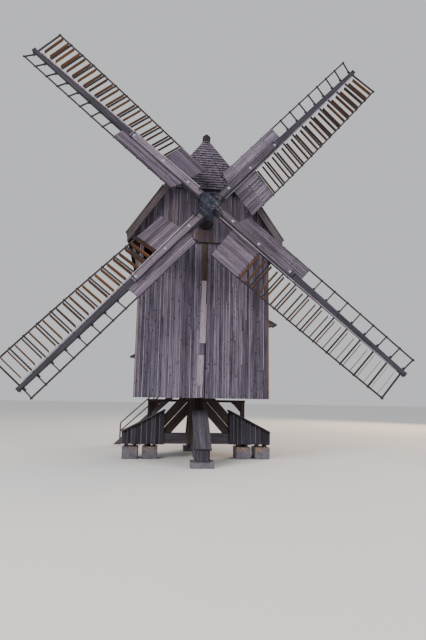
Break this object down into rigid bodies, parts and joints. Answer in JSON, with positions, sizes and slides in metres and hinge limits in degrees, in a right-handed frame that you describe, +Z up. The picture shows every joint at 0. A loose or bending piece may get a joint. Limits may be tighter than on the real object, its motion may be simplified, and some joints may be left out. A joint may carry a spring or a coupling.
{
  "type": "post windmill with shuttered sails",
  "caption": "Timber post mill: boarded house with half-hipped roof turning on an open trestle, four lattice sails with tilting shutters on an inclined shaft, and a rear stair.",
  "frame": {"origin": "on the ground under the centre of the post", "axes": "+Z up along the post, -Y towards the sails, +X to the right seen from the front"},
  "size_m": [14.774, 10.3361, 17.0796],
  "materials": {
    "stone": "weathered pale sandstone, matt",
    "iron": "old blue-black cast iron",
    "boards": "weathered silver-grey vertical boards",
    "shingles": "weathered wooden shingles, violet grey",
    "old_timber": "dark weathered oak timber",
    "light_timber": "light silver-grey weathered timber",
    "sail_timber": "grey weathered sail timber",
    "shutter_wood": "warm brown shutter boards"
  },
  "bodies": {
    "trestle": {"crosstree_lower": "old_timber", "crosstree_upper": "old_timber", "foot_cover_front": "boards", "foot_cover_left": "boards", "foot_cover_rear": "boards", "foot_cover_right": "boards", "packing_timbers": "old_timber", "post": "old_timber", "prop_beam": "old_timber", "prop_posts": "old_timber", "quarter_bars_front": "old_timber", "quarter_bars_left": "old_timber", "quarter_bars_rear": "old_timber", "quarter_bars_right": "old_timber", "stone_blocks": "stone", "stone_pads": "stone"},
    "mill_house": {"crown_tree": "old_timber", "eave_brackets": "old_timber", "eave_soffits": "boards", "floor": "old_timber", "front_batten": "light_timber", "front_wall": "boards", "gable_front": "boards", "gable_rear": "boards", "half_hip_front": "shingles", "half_hip_rear": "shingles", "landing": "old_timber", "landing_rail": "old_timber", "left_wall": "boards", "rear_door": "boards", "rear_wall": "boards", "ridge_cap": "light_timber", "right_wall": "boards", "roof_left": "shingles", "roof_right": "shingles", "sheers": "old_timber", "stair_rail": "old_timber", "stair_stringers": "old_timber", "stair_treads": "old_timber", "tail_beam": "old_timber", "verge_boards": "light_timber", "weather_beam": "old_timber", "window_hoods": "boards", "window_shutters": "boards"},
    "sails": {"poll_end": "iron", "sail_1_frame": "sail_timber", "sail_1_shutters": "shutter_wood", "sail_2_frame": "sail_timber", "sail_2_shutters": "shutter_wood", "sail_3_frame": "sail_timber", "sail_3_shutters": "shutter_wood", "sail_4_frame": "sail_timber", "sail_4_shutters": "shutter_wood", "shutter_rods": "light_timber", "spider": "iron", "stock_clamps": "iron", "stock_front": "sail_timber", "stock_planks": "light_timber", "stock_rear": "sail_timber", "windshaft": "old_timber"}
  },
  "joints": [
    {"name": "house_turn", "type": "hinge", "parent": "trestle", "child": "mill_house", "pos_m": [0, 0, 5.2], "axis": [0, 0, 1], "continuous": true},
    {"name": "sails_turn", "type": "hinge", "parent": "mill_house", "child": "sails", "pos_m": [0, -3.9, 9.73], "axis": [0, -0.9951, 0.0993], "continuous": true}
  ]
}
